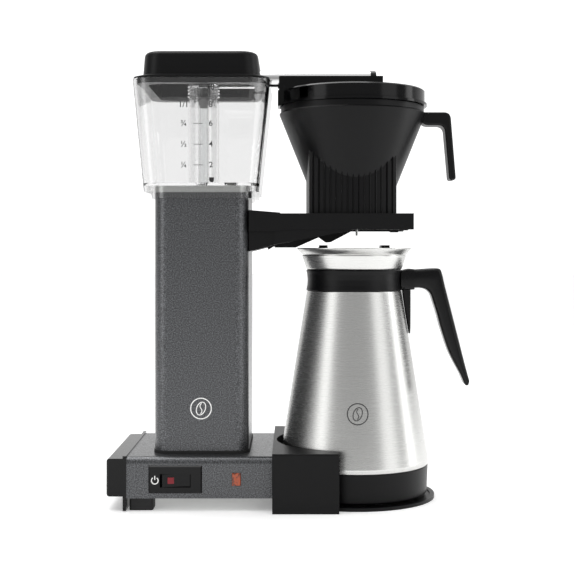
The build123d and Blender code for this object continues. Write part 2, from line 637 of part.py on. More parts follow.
grip_tip = overall_right + 0.49          # the tip's rounding takes this off again
grip_width = 21.0
handle_screw_heights = (193, 201)
with BuildPart() as carafe_handle:
    with BuildSketch(Plane(origin=(0, -grip_width / 2, 0), x_dir=(-1, 0, 0), z_dir=(0, 1, 0))):
        with BuildLine():
            FilletPolyline((-97, 206.4), (-134.6, 208.6), (0.4 - grip_tip, 104.6),
                           (2.6 - grip_tip, 100.0), (4.6 - grip_tip, 101.4),
                           (-142.2, 130.5), (-134.6, 153.3), (-125.4, 191.0), (-107.3, 189.6),
                           (-107.3, 150.2), (-104.6, 145.2), (-97, 150),
                           radius=[4, 1.5, 1.0, 1.0, 12, 12, 7, 2.0, 1.5, 1.0])
            Line((-97, 150), (-97, 206.4))
        make_face()
    extrude(amount=grip_width)
    block((108.2, 170), (-30, -grip_width / 2 + 1.6), (90, 186), Mode.SUBTRACT)
    block((108.2, 170), (grip_width / 2 - 1.6, 30), (90, 186), Mode.SUBTRACT)
    for z in handle_screw_heights:
        long_drum(0, z, 1.8, (carafe_x + 40, carafe_x + 50), Mode.SUBTRACT)
    add(turned([(0, 120), (carafe_radius(120) + 0.1, 120), (43.2, 187), (44.0, 188),
                (43.4, 197.5), (44.1, 206), (44.1, 215), (0, 215)], carafe_x),
        mode=Mode.SUBTRACT)
save(carafe_handle.part, "carafe_handle")

with BuildPart() as handle_screws:
    for z in handle_screw_heights:
        long_drum(0, z, 1.8, (carafe_x + 44.2, carafe_x + 50))
save(handle_screws.part, "handle_screws")

# ---------------------------------------------------------------- carafe lid, poured through
with BuildPart() as carafe_lid:
    add(turned([(5.6, 224.0), (5.6, 214.0), (30, 220.5), (34.8, 224.8), (36.4, 226.2),
                (45.0, 226.2), (45.0, 225.4), (42.6, 222.8), (37.2, 213.0), (36.6, 206.0),
                (36.6, 192.0),
                (34.2, 192.0), (34.2, 206.0), (5.6, 199.0), (4.4, 199.0), (4.4, 224.0)], carafe_x))
    for x in (carafe_x - 28.4, carafe_x + 28.0):
        block((x - 3.8, x + 3.8), (-12, 12), (219, 229))
save(carafe_lid.part, "carafe_lid")

with BuildPart() as lid_seal:
    add(turned([(36.7, 198.0), (37.25, 198.6), (37.25, 202.4), (36.7, 203.0)], carafe_x))
save(lid_seal.part, "lid_seal")

with BuildPart() as lid_tube:
    drum(carafe_x, 0, 6.0, (22, 199))
    drum(carafe_x, 0, 4.15, (199, 212))
    drum(carafe_x, 0, 3.2, (20, 213), Mode.SUBTRACT)
save(lid_tube.part, "lid_tube")
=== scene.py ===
"""Looks and fine shapes of a drip coffee maker with a thermal carafe, built round its CAD frame."""

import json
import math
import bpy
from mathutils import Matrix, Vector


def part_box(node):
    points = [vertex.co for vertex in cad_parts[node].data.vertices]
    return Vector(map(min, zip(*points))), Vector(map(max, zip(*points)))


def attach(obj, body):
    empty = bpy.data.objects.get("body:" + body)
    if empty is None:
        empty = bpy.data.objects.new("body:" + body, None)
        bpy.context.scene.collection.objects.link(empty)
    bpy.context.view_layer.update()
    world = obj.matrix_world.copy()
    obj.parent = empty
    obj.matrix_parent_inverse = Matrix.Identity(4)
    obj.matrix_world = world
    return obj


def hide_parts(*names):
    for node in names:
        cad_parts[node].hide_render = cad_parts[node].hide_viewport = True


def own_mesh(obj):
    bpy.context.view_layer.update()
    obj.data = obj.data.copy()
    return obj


bl_info = {
    "name": "Drip Coffee Maker",
    "version": (1, 0, 0),
    "blender": (4, 5, 0),
    "location": "View3D > Sidebar > Coffee Maker",
    "description": "Finishes, fine shapes and a packshot studio for a drip coffee maker",
    "category": "Add Mesh",
}

import bmesh
import bpy
from bpy.props import FloatProperty, FloatVectorProperty, IntProperty, PointerProperty
from mathutils import Vector

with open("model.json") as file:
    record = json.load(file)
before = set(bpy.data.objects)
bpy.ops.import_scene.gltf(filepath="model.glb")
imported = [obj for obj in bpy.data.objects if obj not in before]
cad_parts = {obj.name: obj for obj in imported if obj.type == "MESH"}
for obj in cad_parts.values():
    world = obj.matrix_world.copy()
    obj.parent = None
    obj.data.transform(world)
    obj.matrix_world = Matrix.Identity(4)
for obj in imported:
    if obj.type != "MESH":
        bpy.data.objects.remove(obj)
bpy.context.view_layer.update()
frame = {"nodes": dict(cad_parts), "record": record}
MM = 0.001
NOISE_RANGE = (0.3, 0.7)  # where nearly all of a noise pattern's values lie


# ---------------------------------------------------------------- places, read from the frame
BOXES = {name: [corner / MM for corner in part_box(name)] for name in frame["nodes"]}


def low(node):
    """Lowest corner of a CAD node, in millimetres."""
    return BOXES[node][0]


def high(node):
    """Highest corner of a CAD node, in millimetres."""
    return BOXES[node][1]


def middle(node):
    """Centre of a CAD node's box, in millimetres."""
    return (low(node) + high(node)) / 2


CARAFE_X = middle("carafe_base").x
BASKET_X = middle("basket_lid").x
VALVE_X = middle("valve_stem").x
ARM_Z = middle("outlet_arm").z

# The tank's front wall: depth at its foot, how far it leans out and over what height.
TANK_LOW_DEPTH, TANK_LEAN, TANK_WALL_HEIGHT = 62.0, 8.0, 97.4
# How far prints stand off what they are printed on.
INK_LIFT, TANK_INK, NUMERAL_LIFT = 0.08, 0.12, 0.07
# The carafe's steel cone, from just above its foot to just below its collar.
CONE_FOOT_RADIUS, CONE_FOOT_Z = 68.0, low("carafe_shell").z + 3.5
CONE_NECK_RADIUS, CONE_NECK_Z = 43.1, low("carafe_collar").z - 0.6


# ---------------------------------------------------------------- colour and node helpers
def hex_colour(text):
    """Linear RGBA of an sRGB hex colour such as #5B5C5E."""
    shares = [int(text[i:i + 2], 16) / 255 for i in (1, 3, 5)]
    linear = [s / 12.92 if s <= 0.04045 else ((s + 0.055) / 1.055) ** 2.4 for s in shares]
    return (*linear, 1.0)


def add_node(tree, kind, settings=None, sockets=None, links=None, stops=()):
    """One node with its settings, socket values, incoming links and, on a ramp, colour stops."""
    made = tree.nodes.new(kind)
    for name, value in (settings or {}).items():
        setattr(made, name, value)
    for name, value in (sockets or {}).items():
        made.inputs[name].default_value = value
    for name, source in (links or {}).items():
        tree.links.new(source, made.inputs[name])
    if stops:
        elements = made.color_ramp.elements
        while len(elements) < len(stops):
            elements.new(0.5)
        for element, (position, colour) in zip(elements, stops):
            element.position = position
            element.color = colour
    return made


def shade(colour, share):
    """A linear colour made darker or lighter by a share."""
    return tuple(min(channel * share, 1.0) for channel in colour[:3]) + (1.0,)


def start_material(name, colour, metallic, roughness, **uniform):
    """A material with its Principled shader's even values set on the sockets."""
    material = bpy.data.materials.new(name)
    material.use_nodes = True
    shader = material.node_tree.nodes["Principled BSDF"]
    shader.inputs["Base Color"].default_value = colour
    shader.inputs["Metallic"].default_value = metallic
    shader.inputs["Roughness"].default_value = roughness
    for socket, value in uniform.items():
        shader.inputs[socket.replace("_", " ")].default_value = value
    return material, material.node_tree, shader


def grain(tree, size_mm, stretch=(1, 1, 1), detail=2.0, roughness=0.5):
    """Noise whose grains are size_mm across, drawn out by stretch along each axis."""
    place = add_node(tree, "ShaderNodeTexCoord")
    scale = [1 / (size_mm * MM * s) for s in stretch]
    spread = add_node(tree, "ShaderNodeMapping", sockets={"Scale": scale},
                      links={"Vector": place.outputs["Object"]})
    noise = add_node(tree, "ShaderNodeTexNoise",
                     sockets={"Scale": 1.0, "Detail": detail, "Roughness": roughness},
                     links={"Vector": spread.outputs["Vector"]})
    return noise.outputs["Fac"]


def lay_pattern(tree, shader, pattern, colours=None, part=NOISE_RANGE, roughness=None,
                depth_mm=0.0, strength=0.5):
    """Let a pattern vary a shader's colour, roughness and relief, each where it is given. The two
    colours are blended over one part of the pattern's range."""
    if colours:
        ramp = add_node(tree, "ShaderNodeValToRGB", links={"Fac": pattern},
                        stops=tuple(zip(part, colours)))
        tree.links.new(ramp.outputs["Color"], shader.inputs["Base Color"])
    if roughness:
        spread = add_node(tree, "ShaderNodeMapRange", links={"Value": pattern},
                          sockets={"From Min": NOISE_RANGE[0], "From Max": NOISE_RANGE[1],
                                   "To Min": roughness[0], "To Max": roughness[1]})
        tree.links.new(spread.outputs["Result"], shader.inputs["Roughness"])
    if depth_mm:
        bump = add_node(tree, "ShaderNodeBump", links={"Height": pattern},
                        sockets={"Strength": strength, "Distance": depth_mm * MM})
        tree.links.new(bump.outputs["Normal"], shader.inputs["Normal"])


# ---------------------------------------------------------------- materials
def hammered_enamel(look):
    """Stoving enamel sprayed on sheet steel: metal flakes make a sparkling grey, and the dimpled
    clear coat over them gives broad soft highlights with bright edges.

    Real flakes are under 0.1 mm across, and are drawn coarser to show."""
    dimple_mm, dimple_depth_mm = 1.7, 0.06
    material, tree, shader = start_material("hammered_enamel", look.colour[:] + (1.0,),
                                            metallic=0.72, roughness=0.38, Coat_Weight=0.4,
                                            Coat_Roughness=0.2)
    lay_pattern(tree, shader, grain(tree, look.flake_mm, detail=3.0, roughness=0.7),
                colours=(shade(look.colour, 0.55), shade(look.colour, 2.9)), part=(0.42, 0.72))
    lay_pattern(tree, shader, grain(tree, dimple_mm), roughness=(0.30, 0.46),
                depth_mm=dimple_depth_mm, strength=0.6)
    return material


def moulded_abs(name, colour, roughness, texture_mm=0.8, depth_mm=0.008, sheen=0.5):
    """Injection moulded ABS: even colour, and a faint texture from the mould that softens its
    reflections."""
    material, tree, shader = start_material(name, colour, metallic=0.0, roughness=roughness,
                                            IOR=1.5, Specular_IOR_Level=sheen)
    lay_pattern(tree, shader, grain(tree, texture_mm, detail=4.0),
                roughness=(roughness * 0.85, roughness * 1.2), depth_mm=depth_mm)
    return material


def brushed_stainless(look):
    """Stainless steel brushed round its axis: fine level lines that spread highlights up and down.

    Real brush lines are about 0.1 mm apart, and are drawn coarser to show."""
    line_mm, line_depth_mm, length = 0.5, 0.001, 90.0
    colour = look.colour[:] + (1.0,)
    material, tree, shader = start_material("brushed_stainless", colour, metallic=1.0,
                                            roughness=look.roughness, Anisotropic=0.55)
    lines = grain(tree, line_mm, stretch=(length, length, 1.0), detail=3.0, roughness=0.55)
    lay_pattern(tree, shader, lines, colours=(shade(colour, 0.975), shade(colour, 1.015)),
                roughness=(look.roughness * 0.97, look.roughness * 1.03),
                depth_mm=line_depth_mm, strength=0.25)
    around = add_node(tree, "ShaderNodeTangent", {"direction_type": "RADIAL", "axis": "Z"})
    tree.links.new(around.outputs["Tangent"], shader.inputs["Tangent"])
    return material


def polished_metal(name, colour, roughness):
    """Drawn and polished tube or plated part: sharp reflections with faint lengthwise hairlines.

    Real hairlines are about 0.05 mm wide, and are drawn coarser to show."""
    hairline_mm, hairline_depth_mm, length = 0.5, 0.004, 40
    material, tree, shader = start_material(name, colour, metallic=1.0, roughness=roughness)
    hairs = grain(tree, hairline_mm, stretch=(length, 1, 1), detail=3.0)
    lay_pattern(tree, shader, hairs, roughness=(roughness * 0.7, roughness * 1.5),
                depth_mm=hairline_depth_mm, strength=0.3)
    return material


def clear_moulding(name, colour, ior, roughness):
    """Clear moulded SAN or drawn glass: tinted only in its thick edges, with slow flow marks."""
    flow_mm = 9.0
    material, tree, shader = start_material(name, colour, metallic=0.0, roughness=roughness,
                                            IOR=ior, Transmission_Weight=1.0,
                                            Specular_IOR_Level=0.3)
    lay_pattern(tree, shader, grain(tree, flow_mm, detail=1.0),
                roughness=(roughness * 0.5, roughness * 1.5))
    return material


def tinted_polycarbonate(colour):
    """Amber lens of the pilot lamp: moulded tinted polycarbonate with prisms. The light and dark
    cells that its prisms make of the light are painted into its colour, as painted shade and
    painted light."""
    prism_mm = 2.4
    material, tree, shader = start_material("amber_polycarbonate", colour, metallic=0.0,
                                            roughness=0.12, IOR=1.58, Emission_Color=colour,
                                            Emission_Strength=0.06)
    # painted shade and painted light: dark and full amber cells in the colour, standing in for
    # light turned by the prisms
    lay_pattern(tree, shader, grain(tree, prism_mm, detail=0.0),
                colours=(shade(colour, 0.25), colour), part=(0.42, 0.58))
    return material


def soft_rubber(name, colour, roughness=0.7):
    """Moulded rubber or silicone: matt and slightly mottled."""
    mottle_mm, mottle_depth_mm = 1.5, 0.03
    material, tree, shader = start_material(name, colour, metallic=0.0, roughness=roughness,
                                            IOR=1.52)
    lay_pattern(tree, shader, grain(tree, mottle_mm, detail=4.0),
                colours=(shade(colour, 0.8), colour), depth_mm=mottle_depth_mm)
    return material


def printed_ink(name, colour):
    """Screen-printed ink: matt, and a little uneven from the mesh of the screen."""
    screen_mm = 0.6
    material, tree, shader = start_material(name, colour, metallic=0.0, roughness=0.55, IOR=1.5)
    lay_pattern(tree, shader, grain(tree, screen_mm), roughness=(0.45, 0.65))
    return material


FINISHES = {}


# ---------------------------------------------------------------- mesh helpers
def soften(points, radius, steps=4):
    """Closed outline with each corner rounded, by up to radius or as its edges allow."""
    rounded = []
    count = len(points)
    for i, corner in enumerate(points):
        here = Vector(corner)
        before = Vector(points[i - 1]) - here
        after = Vector(points[(i + 1) % count]) - here
        reach = min(radius, 0.45 * before.length, 0.45 * after.length)
        first = here + before.normalized() * reach
        last = here + after.normalized() * reach
        for step in range(steps + 1):
            t = step / steps
            rounded.append(tuple(first * (1 - t) ** 2 + here * 2 * t * (1 - t) + last * t * t))
    return rounded


def make_piece(name, vertices, faces, sharp_deg=38.0):
    """Mesh object from millimetre points, smooth but for its sharp edges."""
    mesh = bpy.data.meshes.new(name)
    mesh.from_pydata([Vector(v) * MM for v in vertices], [], faces)
    shape = bmesh.new()
    shape.from_mesh(mesh)
    bmesh.ops.remove_doubles(shape, verts=shape.verts, dist=1e-6)
    bmesh.ops.recalc_face_normals(shape, faces=shape.faces)
    shape.to_mesh(mesh)
    shape.free()
    mesh.shade_smooth()
    mesh.set_sharp_from_angle(angle=math.radians(sharp_deg))
    piece = bpy.data.objects.new(name, mesh)
    bpy.context.scene.collection.objects.link(piece)
    return piece


def join_rings(rings, loop=False):
    """Vertices and faces of a skin over rings of points. A loop joins the last ring to the first;
    otherwise the end rings are filled."""
    count = len(rings[0])
    vertices = [point for ring in rings for point in ring]
    faces = []
    spans = len(rings) if loop else len(rings) - 1
    for i in range(spans):
        j = (i + 1) % len(rings)
        for k in range(count):
            n = (k + 1) % count
            faces.append((i * count + k, i * count + n, j * count + n, j * count + k))
    if not loop:
        faces.append(tuple(range(count))[::-1])
        faces.append(tuple((len(rings) - 1) * count + k for k in range(count)))
    return vertices, faces


def turn(name, profile, x, steps=160, span=360.0):
    """Turned piece: a closed (radius, z) profile spun round an upright axis, or part of the way
    round, centred on the right-hand side."""
    rings = []
    whole = span >= 360.0
    for step in range(steps if whole else steps + 1):
        angle = math.radians(span) * (step / steps - 0.5)
        rings.append([(x + r * math.cos(angle), r * math.sin(angle), z) for r, z in profile])
    return make_piece(name, *join_rings(rings, loop=whole))


def turn_level(name, profile, z, steps=96):
    """Turned piece on a level axis from left to right at height z: a closed (radius, x) profile."""
    rings = []
    for step in range(steps):
        angle = 2 * math.pi * step / steps
        rings.append([(x, r * math.cos(angle), z + r * math.sin(angle)) for r, x in profile])
    return make_piece(name, *join_rings(rings, loop=True))


def rectangle(left, bottom, right, top):
    """Outline of an upright rectangle."""
    return [(left, bottom), (right, bottom), (right, top), (left, top)]


def plate(name, outline, y_front, y_back, bevel=0.0):
    """Upright plate: a closed (x, z) outline between two depths, its rims rounded by bevel."""
    rings = [[(x, y_front, z) for x, z in outline], [(x, y_back, z) for x, z in outline]]
    piece = make_piece(name, *join_rings(rings))
    if bevel:
        round_edges(piece, bevel, segments=3, angle_deg=50)
    return piece


def through(points, steps):
    """Points along a smooth line through the given ones."""
    smooth = []
    ends = [points[0]] + list(points) + [points[-1]]
    for i in range(1, len(ends) - 2):
        p0, p1, p2, p3 = (Vector(ends[i + k]) for k in (-1, 0, 1, 2))
        for step in range(steps):
            t = step / steps
            smooth.append(0.5 * (2 * p1 + (p2 - p0) * t + (2 * p0 - 5 * p1 + 4 * p2 - p3) * t ** 2
                                 + (3 * p1 - p0 - 3 * p2 + p3) * t ** 3))
    smooth.append(Vector(points[-1]))
    return smooth


def moulded_bar(name, pairs, width, corner):
    """Bar between pairs of (x, z) edge points, as wide as width in depth, with rounded rims."""
    run_steps, corner_steps = 6, 5
    outer = through([pair[0] for pair in pairs], run_steps)
    inner = through([pair[1] for pair in pairs], run_steps)
    rings = []
    for a, b in zip(outer, inner):
        thick = (a - b).length
        radius = min(corner, 0.47 * thick)
        share = radius / thick
        ring = []
        for quarter, (near, side) in enumerate(((1, 1), (0, 1), (0, -1), (1, -1))):
            for step in range(corner_steps + 1):
                angle = math.pi / 2 * (quarter + step / corner_steps)
                along = (1 - share if near else share) + share * math.cos(angle)
                depth = side * (width / 2 - radius) + radius * math.sin(angle)
                spot = b + (a - b) * along
                ring.append((spot.x, depth, spot.y))
        rings.append(ring)
    return make_piece(name, *join_rings(rings), sharp_deg=50)


def round_edges(piece, width_mm, segments=2, angle_deg=40.0):
    """Small rounding on every edge sharper than the angle."""
    edges = piece.modifiers.new("edge_rounding", "BEVEL")
    edges.width = width_mm * MM
    edges.segments = segments
    edges.limit_method = "ANGLE"
    edges.angle_limit = math.radians(angle_deg)
    edges.harden_normals = False


def settle(piece, body, finish, *nodes):
    """Give a piece its finish, its body and the CAD nodes that it stands for."""
    piece.data.materials.clear()
    piece.data.materials.append(FINISHES[finish])
    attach(piece, body)
    if nodes:
        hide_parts(*nodes)
    return piece


# ---------------------------------------------------------------- settings
class EnamelSettings(bpy.types.PropertyGroup):
    """Painted steel of the base and the column."""

    colour: FloatVectorProperty(name="Colour", description="Mean colour of the enamel",
                                subtype="COLOR", default=hex_colour("#48494B")[:3])
    flake_mm: FloatProperty(name="Flake", description="Width of a flake in millimetres",
                            default=1.0, min=0.2, max=5.0)


class SteelSettings(bpy.types.PropertyGroup):
    """Bare steel of the carafe and the arm."""

    colour: FloatVectorProperty(name="Colour", description="Colour of the steel",
                                subtype="COLOR", default=hex_colour("#D2D2D0")[:3])
    roughness: FloatProperty(name="Roughness", description="How far the brushing blurs reflections",
                             default=0.27, min=0.02, max=1.0, subtype="FACTOR")


class PlasticSettings(bpy.types.PropertyGroup):
    """Moulded plastics."""

    black: FloatVectorProperty(name="Black", description="Colour of the black mouldings",
                               subtype="COLOR", default=hex_colour("#080809")[:3])
    amber: FloatVectorProperty(name="Amber", description="Colour of the pilot lamp's lens",
                               subtype="COLOR", default=hex_colour("#9C3E0E")[:3])
    ribs: IntProperty(name="Ribs", description="Ribs on each face of the basket's block",
                      default=15, min=1, max=31)


class StudioSettings(bpy.types.PropertyGroup):
    """Camera and light."""

    distance: FloatProperty(name="Distance", description="Camera to the middle of the machine",
                            default=1.067, unit="LENGTH")
    height: FloatProperty(name="Height", description="Camera above the worktop",
                          default=0.221, unit="LENGTH")
    lens: FloatProperty(name="Lens", description="Focal length in millimetres", default=72.8)
    light: FloatProperty(name="Light", description="Strength of the studio light", default=1.0)


# ---------------------------------------------------------------- operators
class COFFEE_OT_finishes(bpy.types.Operator):
    """Make the finishes and give each CAD node its own"""

    bl_idname = "coffee.finishes"
    bl_label = "Finishes"

    def execute(self, context):
        scene = context.scene
        black = scene.coffee_plastic.black[:] + (1.0,)
        amber = scene.coffee_plastic.amber[:] + (1.0,)
        FINISHES.update({
            "hammered_paint": hammered_enamel(scene.coffee_enamel),
            "brushed_steel": brushed_stainless(scene.coffee_steel),
            "polished_steel": polished_metal("polished_stainless", hex_colour("#DADADA"), 0.10),
            "zinc_plate": polished_metal("zinc_plated_steel", hex_colour("#B9BBB8"), 0.35),
            "copper": polished_metal("drawn_copper", hex_colour("#C77B52"), 0.25),
            "heater_sheath": polished_metal("annealed_steel_sheath", hex_colour("#77736C"), 0.42),
            "gloss_black": moulded_abs("polished_black_abs", black, 0.15, texture_mm=2.0,
                                       depth_mm=0.003, sheen=0.22),
            "satin_black": moulded_abs("satin_black_abs", black, 0.36, sheen=0.19),
            "natural_nylon": moulded_abs("natural_nylon", hex_colour("#DDDBD2"), 0.45),
            "rubber": soft_rubber("black_nitrile_rubber", hex_colour("#111112")),
            "silicone": soft_rubber("natural_silicone", hex_colour("#D9D6CE"), 0.45),
            "cable_sheath": soft_rubber("brown_wire_sheath", hex_colour("#5A3A22"), 0.4),
            "amber_lens": tinted_polycarbonate(amber),
            "clear_plastic": clear_moulding("clear_san", hex_colour("#FBFBFB"), 1.56, 0.015),
            "borosilicate": clear_moulding("borosilicate_glass", hex_colour("#FAFBFB"), 1.47,
                                           0.01),
            "dark_ink": printed_ink("black_print", hex_colour("#1B1B1C")),
            "white_ink": printed_ink("white_print", hex_colour("#F2F2F0")),
            "red_inlay": printed_ink("red_inlay", hex_colour("#7A0E1C")),
        })
        for entry in frame["record"]["subparts"]:
            node = frame["nodes"][entry["node"]]
            node.data.materials.clear()
            node.data.materials.append(FINISHES[entry["material_slot"]])
        return {"FINISHED"}


class COFFEE_OT_housings(bpy.types.Operator):
    """Round the edges of the folded and moulded housings"""

    bl_idname = "coffee.housings"
    bl_label = "Housings"

    def execute(self, context):
        widths = {"base_shell": 0.4, "end_cap": 0.8, "switch_bezel": 0.3, "stand_fence": 0.7,
                  "basket_holder": 0.5, "column_shell": 0.3, "rubber_feet": 0.6}
        for name, width in widths.items():
            round_edges(frame["nodes"][name], width)
        return {"FINISHED"}


class COFFEE_OT_carafe(bpy.types.Operator):
    """Turn the carafe's steel body, liner, foot cup and collar, and mould its handle"""

    bl_idname = "coffee.carafe"
    bl_label = "Carafe"

    def execute(self, context):
        foot, rim = low("carafe_shell").z, high("carafe_shell").z
        neck = low("carafe_collar").z
        outside = [(67.2, foot), (CONE_FOOT_RADIUS, CONE_FOOT_Z),
                   (CONE_NECK_RADIUS, CONE_NECK_Z), (41.6, neck + 1.4), (41.6, rim - 21),
                   (43.9, rim - 18.6), (47.7, rim - 7.2), (47.0, rim - 6.3), (48.2, rim - 5.4),
                   (50.4, rim - 3.2), (52.3, rim - 0.9), (52.1, rim)]
        inside = [(51.3, rim), (46.6, rim - 5.1), (42.8, rim - 18.7), (40.4, rim - 21),
                  (40.4, neck + 2), (41.9, neck - 1), (66.8, foot + 3.7), (66.2, foot)]
        body = turn("carafe_body", soften(outside + inside, 0.7, 3), CARAFE_X, steps=220)
        settle(body, "carafe", "brushed_steel", "carafe_shell")
        cup_low, cup_high = low("carafe_base").z, high("carafe_base").z
        cup = [(0, cup_low + 2), (61, cup_low + 2), (62, cup_low), (65.2, cup_low),
               (66.2, cup_low + 1.2), (67.28, cup_high - 1.2), (67.28, cup_high), (66.0, cup_high),
               (64.8, cup_low + 4), (0, cup_low + 4)]
        settle(turn("carafe_foot_cup", soften(cup, 0.5, 3), CARAFE_X, steps=200), "carafe",
               "satin_black", "carafe_base")
        top = high("carafe_collar").z
        band = [(41.65, neck + 1.5), (43.3, neck), (43.8, neck + 0.8), (42.9, neck + 5),
                (42.6, neck + 10), (43.0, neck + 15), (43.9, top - 0.9), (43.5, top),
                (41.65, top - 1.3)]
        settle(turn("carafe_collar_band", soften(band, 0.5, 4), CARAFE_X, steps=200), "carafe",
               "satin_black", "carafe_collar")
        self.handle()
        return {"FINISHED"}

    def handle(self):
        """Open handle: a root on the collar, a drooping grip and a tongue down the steel."""
        top, tip, foot = high("carafe_handle").z, high("carafe_handle").x, low("carafe_handle").z
        grip = [((99.2, top - 2.1), (99.2, 190.6)), ((115.0, top - 1.2), (109.0, 190.0)),
                ((128.0, top - 0.4), (115.5, 190.0)), ((134.4, top - 1.2), (121.0, 188.6)),
                ((136.6, top - 6.5), (125.2, 184.6)), ((138.5, 193.5), (127.9, 177.0)),
                ((142.5, 177.8), (131.2, 166.5)), ((148.2, 155.4), (135.2, 152.0)),
                ((154.1, 132.2), (142.4, 130.8)), ((159.6, 110.6), (152.4, 111.4)),
                ((tip - 0.1, foot + 4.6), (156.2, 102.8)),
                ((tip - 1.2, foot + 1.0), (157.8, foot + 0.6))]
        settle(moulded_bar("carafe_grip", grip, 18.8, 4.4), "carafe", "gloss_black",
               "carafe_handle")
        tongue = [((107.4, 196.0), (99.0, 196.0)), ((107.4, 186.0), (100.0, 186.0)),
                  ((107.4, 170.0), (102.3, 170.0)), ((107.3, 155.0), (104.8, 155.0)),
                  ((106.9, 148.6), (105.9, 148.6))]
        settle(moulded_bar("carafe_tongue", tongue, 15.0, 1.6), "carafe", "gloss_black")
        yoke = [((110.5, top - 1.2), (110.5, 188.6)), ((106.0, top - 0.8), (106.0, 188.3)),
                ((101.5, top - 1.6), (101.5, 188.8)), ((98.2, top - 3.0), (98.2, 190.0))]
        settle(moulded_bar("carafe_yoke", yoke, 24.0, 3.2), "carafe", "gloss_black")


class COFFEE_OT_basket(bpy.types.Operator):
    """Mould the brew basket: cone, ribbed block, spout and grip"""

    bl_idname = "coffee.basket"
    bl_label = "Brew basket"

    def execute(self, context):
        rim = high("brew_basket").z
        self.shoulder, self.slope, self.radius = rim - 6.5, 0.402, 67.0
        wall, throat, lip_drop = 2.4, 262.0, 1.3
        foot = low("brew_basket").z + lip_drop
        throat_radius = self.cone_radius(throat)
        cone = [(0, throat - wall), (throat_radius, throat - wall), (throat_radius, throat),
                (self.radius, self.shoulder), (self.radius - 1.5, self.shoulder + 1.2),
                (self.radius - 1.5, rim), (self.radius - 4, rim),
                (self.radius - wall - 0.6, self.shoulder), (throat_radius - wall, throat),
                (0, throat)]
        settle(turn("basket_cone", soften(cone, 0.5, 3), BASKET_X, steps=200), "basket",
               "satin_black", "brew_basket")
        settle(self.block(foot, context.scene.coffee_plastic.ribs), "basket", "satin_black")
        # Below slot_top the spout is open towards the column, where the drip lever comes in.
        outer, inner, slot_top, slot_angle = 9, 5, foot + 2.1, 125.0
        spout = [(outer, slot_top), (outer, throat - 1), (inner, throat - 1), (inner, slot_top)]
        settle(turn("basket_spout", spout, VALVE_X, steps=64), "basket", "satin_black")
        lips = [(outer, foot - lip_drop), (outer, slot_top), (inner, slot_top),
                (inner, foot - lip_drop)]
        settle(turn("basket_spout_lips", soften(lips, 0.4, 3), VALVE_X, steps=52,
                    span=360 - slot_angle), "basket", "satin_black")
        self.spring()
        right = high("basket_handle").x
        grip = [(113.5, 350.4), (143.6, 350.4), (right, 288.6), (right - 6.2, 288.1),
                (right - 10.6, 338.4), (118.2, 338.4)]
        settle(plate("basket_grip", soften(grip, 6.0, 6), -9.6, 9.6, bevel=1.8), "basket",
               "satin_black", "basket_handle")
        return {"FINISHED"}

    def spring(self):
        """Coil spring of the drip valve, wound between the ends of its CAD node."""
        end_gap, valve_travel = 0.45, 4.0
        foot, head = low("valve_spring").z + end_gap, high("valve_spring").z - end_gap
        coils, wire_radius, radius, steps, sides = 4, 0.42, 3.6, 160, 8
        rings = []
        for step in range(steps + 1):
            share = step / steps
            angle = 2 * math.pi * coils * share
            out = Vector((math.cos(angle), math.sin(angle), 0.0))
            centre = Vector((VALVE_X, 0.0, foot + (head - foot) * share)) + out * radius
            ring = []
            for side in range(sides):
                turned = 2 * math.pi * side / sides
                ring.append(tuple(centre + out * wire_radius * math.cos(turned)
                                  + Vector((0, 0, wire_radius * math.sin(turned)))))
            rings.append(ring)
        piece = make_piece("drip_spring", *join_rings(rings), sharp_deg=80)
        settle(piece, "basket", "zinc_plate", "valve_spring")
        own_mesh(piece)

    def cone_radius(self, z):
        """Outer radius of the cone at height z."""
        return self.radius - self.slope * (self.shoulder - z)

    def side_points(self, ribs):
        """Bowed four-sided outline of the block with its ribs, front and back, from above."""
        half, corner, bow, bulge, proud, pitch = 38.75, 34.5, 42.9, 41.0, 1.3, 5.07
        round_rib = ((-0.62, 0), (-0.52, 0.45), (-0.28, 0.86), (0, 1), (0.28, 0.86), (0.52, 0.45),
                     (0.62, 0))
        front_steps, side_steps = 48, 12
        front = [(-half + 2 * half * step / front_steps, 0.0) for step in range(front_steps + 1)]
        for rib in range(ribs):
            x = pitch * (rib - (ribs - 1) / 2)
            front += [(x + wide, proud * tall) for wide, tall in round_rib]
        front.sort()
        edge = [(x, -(bow - (bow - corner) * (x / half) ** 2) - out) for x, out in front]
        side = []
        for step in range(1, side_steps):
            y = -corner + 2 * corner * step / side_steps
            side.append((half + (bulge - half) * (1 - (y / corner) ** 2), y))
        return edge + side + [(-x, -y) for x, y in edge] + [(-x, -y) for x, y in side]

    def block(self, foot, ribs):
        """Wall of the block, each point running up until it meets the cone."""
        outline = self.side_points(ribs)
        shift, wall, overlap = 1.3, 2.4, 1.2
        rings = []
        for inset, at_top in ((0.0, False), (0.0, True), (wall, True), (wall, False)):
            ring = []
            for x, y in outline:
                size = math.hypot(x, y)
                px, py = x * (1 - inset / size), y * (1 - inset / size)
                distance = math.hypot(px - shift, py)
                top = self.shoulder - (self.radius - overlap - distance) / self.slope
                ring.append((BASKET_X - shift + px, py, top if at_top else foot))
            rings.append(ring)
        return make_piece("basket_block", *join_rings(rings, loop=True), sharp_deg=30)


class COFFEE_OT_arm(bpy.types.Operator):
    """Draw the outlet arm as a polished tube"""

    bl_idname = "coffee.arm"
    bl_label = "Outlet arm"

    def execute(self, context):
        left, right = low("outlet_arm").x, high("outlet_arm").x
        radius = (high("outlet_arm").z - low("outlet_arm").z) / 2
        tube = [(radius, left + 0.3), (radius, right), (radius - 1, right), (radius - 1, left + 1),
                (0, left + 1), (0, left)]
        settle(turn_level("arm_tube", tube, ARM_Z), "root", "polished_steel", "outlet_arm")
        end = high("arm_plug").x
        plug = [(0, right - 5), (radius - 1.1, right - 5), (radius - 1.1, right), (radius, right),
                (radius, end - 0.8), (radius - 0.8, end), (0, end)]
        settle(turn_level("arm_end_cap", plug, ARM_Z), "root", "gloss_black", "arm_plug")
        return {"FINISHED"}


